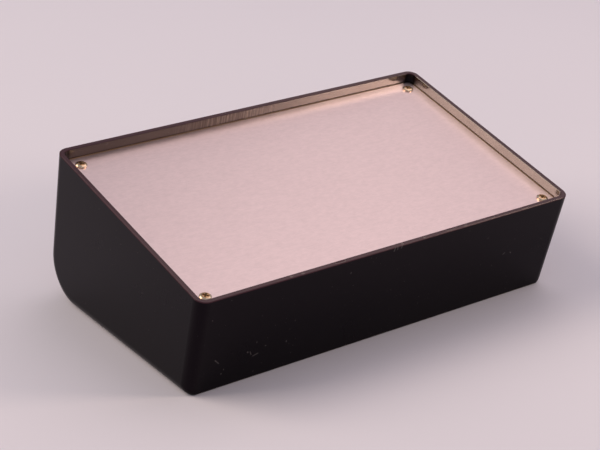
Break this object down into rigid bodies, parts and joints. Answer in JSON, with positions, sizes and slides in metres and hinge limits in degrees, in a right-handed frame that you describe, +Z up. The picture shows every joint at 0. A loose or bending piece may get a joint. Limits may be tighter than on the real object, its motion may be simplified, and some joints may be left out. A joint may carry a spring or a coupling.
{
  "type": "plastic console enclosure",
  "caption": "Sloped black plastic console box with a recessed aluminium top panel held by brass-coloured corner screws.",
  "frame": {"origin": "middle of the outer size, on the surface that the base stands on", "axes": "+X along the box from left to right as its user sees it, +Y from the low front to the high back, +Z up from the base"},
  "size_m": [0.215, 0.1356, 0.0793],
  "materials": {
    "black_abs": "satin black ABS, lightly scuffed along the front rim",
    "panel_aluminium": "fine satin grain along the length",
    "screw_brass": "bright, brass-coloured",
    "bush_brass": "turned brass"
  },
  "bodies": {
    "root": {"console_shell": "black_abs", "top_panel": "panel_aluminium", "panel_screw_front_left": "screw_brass", "panel_screw_front_right": "screw_brass", "panel_screw_back_right": "screw_brass", "panel_screw_back_left": "screw_brass", "threaded_bush_front_left": "bush_brass", "threaded_bush_front_right": "bush_brass", "threaded_bush_back_right": "bush_brass", "threaded_bush_back_left": "bush_brass"}
  },
  "joints": []
}
